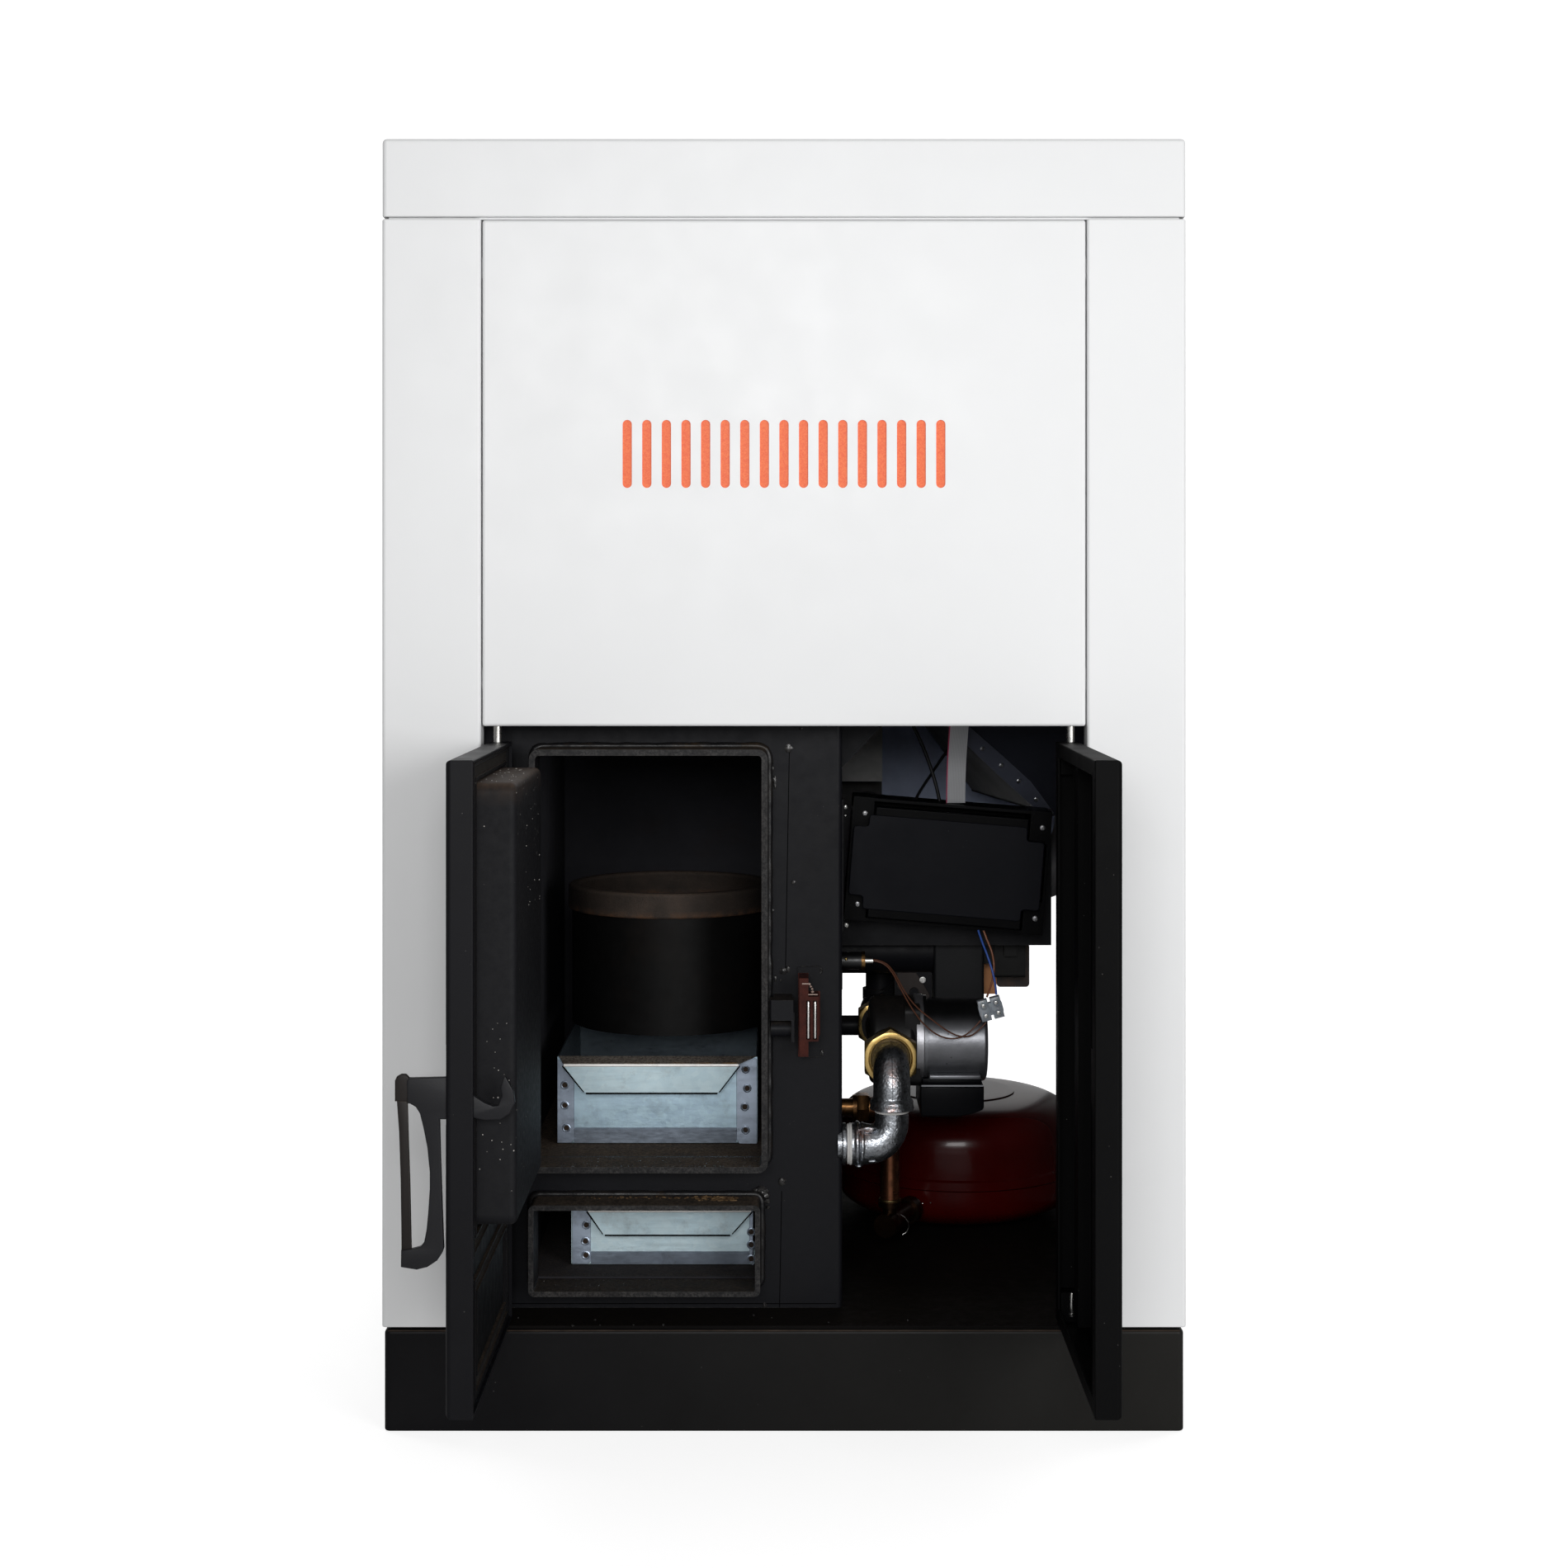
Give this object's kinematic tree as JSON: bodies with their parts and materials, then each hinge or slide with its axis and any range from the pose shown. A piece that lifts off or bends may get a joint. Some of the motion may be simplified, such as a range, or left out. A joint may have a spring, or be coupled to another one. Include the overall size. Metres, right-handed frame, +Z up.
{
  "type": "pellet boiler",
  "caption": "Floor-standing pellet boiler with open front doors: fire door with lever latch, ash pans, fuel feed, pump bay and filling lid.",
  "frame": {"origin": "centre of the plinth's underside, on the floor", "axes": "+Z up, -Y out of the front with the doors, +X to the right seen from the front"},
  "size_m": [0.78, 1.048, 1.254],
  "materials": {
    "black_plastic_paint": "satin",
    "floor_black": "satin",
    "white_paint": "gloss",
    "galvanised": "matte",
    "orange_paint": "satin",
    "black_steel": "satin",
    "burner_steel": "matte",
    "cast_ring": "matte",
    "ash_pan_zinc": "satin",
    "door_black": "satin",
    "liner_steel": "satin",
    "insulation": "matte",
    "gasket_rope": "matte",
    "lever_black": "satin",
    "zinc_steel": "satin",
    "catch_brown": "satin",
    "hopper_paint": "satin",
    "hose_grey": "matte",
    "gearbox_black": "satin",
    "laminations": "satin",
    "pump_paint": "satin",
    "pump_grey": "satin",
    "pump_black": "satin",
    "union_brass": "satin",
    "galvanised_iron": "satin",
    "vessel_red": "gloss",
    "copper_brass": "satin",
    "brass": "satin",
    "box_black": "satin",
    "ribbon_grey": "satin",
    "wire_blue": "satin",
    "wire_brown": "satin",
    "wire_sensor": "satin",
    "cable_black": "satin",
    "block_white": "satin",
    "display_black": "gloss",
    "button_grey": "matte",
    "switch_black": "gloss"
  },
  "bodies": {
    "boiler": {"plinth": "black_plastic_paint", "floor_deck": "floor_black", "side_panel_left": "white_paint", "side_panel_right": "white_paint", "rear_panel": "galvanised", "top_cover": "white_paint", "upper_front_panel": "white_paint", "slot_backing": "orange_paint", "boiler_shell": "black_steel", "firebox": "black_steel", "door_frames": "black_steel", "smoke_box": "black_steel", "burner_pot": "burner_steel", "burner_ring": "cast_ring", "hinge_pins": "zinc_steel", "latch_keeper": "black_steel", "catch_housing": "catch_brown", "hopper": "hopper_paint", "feed_hose": "hose_grey", "feed_chute": "hopper_paint", "auger_tube": "black_steel", "gearbox": "gearbox_black", "motor_core": "laminations", "fan_housing": "galvanised", "fan_motor": "gearbox_black", "pump_volute": "pump_paint", "pump_motor": "pump_grey", "pump_terminal_box": "pump_black", "union_nuts": "union_brass", "return_elbows": "galvanised_iron", "flow_pipe": "black_steel", "expansion_vessel": "vessel_red", "vessel_pipe": "copper_brass", "sensor_fitting": "brass", "control_box_base": "box_black", "control_box_lid": "box_black", "box_bracket": "black_steel", "ribbon_cable": "ribbon_grey", "blue_wire": "wire_blue", "brown_wire": "wire_brown", "sensor_wire_a": "wire_sensor", "display_cable": "cable_black", "probe_cable": "cable_black", "sensor_wire_b": "wire_sensor", "terminal_block": "block_white", "display_panel": "display_black"},
    "left_door": {"left_door_shell": "door_black", "left_door_liner": "liner_steel", "insulation_block": "insulation", "door_gaskets": "gasket_rope"},
    "latch": {"latch_lever": "lever_black"},
    "right_door": {"right_door_shell": "door_black"},
    "upper_pan": {"upper_ash_pan": "ash_pan_zinc"},
    "lower_pan": {"lower_ash_pan": "ash_pan_zinc"},
    "lid": {"hopper_lid": "white_paint"},
    "auger": {"auger_screw": "zinc_steel"},
    "impeller": {"fan_impeller": "zinc_steel"},
    "button_up": {"display_button_up": "button_grey"},
    "button_down": {"display_button_down": "button_grey"},
    "rocker": {"power_switch": "switch_black"}
  },
  "joints": [
    {"name": "left_door_swing", "type": "hinge", "parent": "boiler", "child": "left_door", "pos_m": [-0.279, -0.359, 0.38], "axis": [0, 0, -1], "range_deg": [-90, 10]},
    {"name": "right_door_swing", "type": "hinge", "parent": "boiler", "child": "right_door", "pos_m": [0.279, -0.359, 0.38], "axis": [0, 0, 1], "range_deg": [-90, 10]},
    {"name": "latch_lift", "type": "hinge", "parent": "left_door", "child": "latch", "pos_m": [-0.279, -0.629, 0.377], "axis": [0, 1, 0], "range_deg": [0, 45]},
    {"name": "upper_pan_slide", "type": "slide", "parent": "boiler", "child": "upper_pan", "axis": [0, -1, 0], "range_m": [0, 0.36]},
    {"name": "lower_pan_slide", "type": "slide", "parent": "boiler", "child": "lower_pan", "axis": [0, -1, 0], "range_m": [0, 0.36]},
    {"name": "lid_open", "type": "hinge", "parent": "boiler", "child": "lid", "pos_m": [0.2145, 0.329, 1.254], "axis": [-1, 0, 0], "range_deg": [0, 85]},
    {"name": "auger_turn", "type": "hinge", "parent": "boiler", "child": "auger", "pos_m": [0.1, -0.08, 0.426], "axis": [1, 0, 0], "continuous": true},
    {"name": "impeller_turn", "type": "hinge", "parent": "boiler", "child": "impeller", "pos_m": [-0.11, 0.29, 0.7], "axis": [0, 1, 0], "continuous": true},
    {"name": "button_up_press", "type": "slide", "parent": "boiler", "child": "button_up", "axis": [0, 0, -1], "range_m": [0, 0.0012], "stiffness_N_per_m": 500},
    {"name": "button_down_press", "type": "slide", "parent": "boiler", "child": "button_down", "axis": [0, 0, -1], "range_m": [0, 0.0012], "stiffness_N_per_m": 500},
    {"name": "switch_rock", "type": "hinge", "parent": "boiler", "child": "rocker", "pos_m": [-0.33, 0.367, 0.571], "axis": [1, 0, 0], "range_deg": [0, 12]}
  ]
}
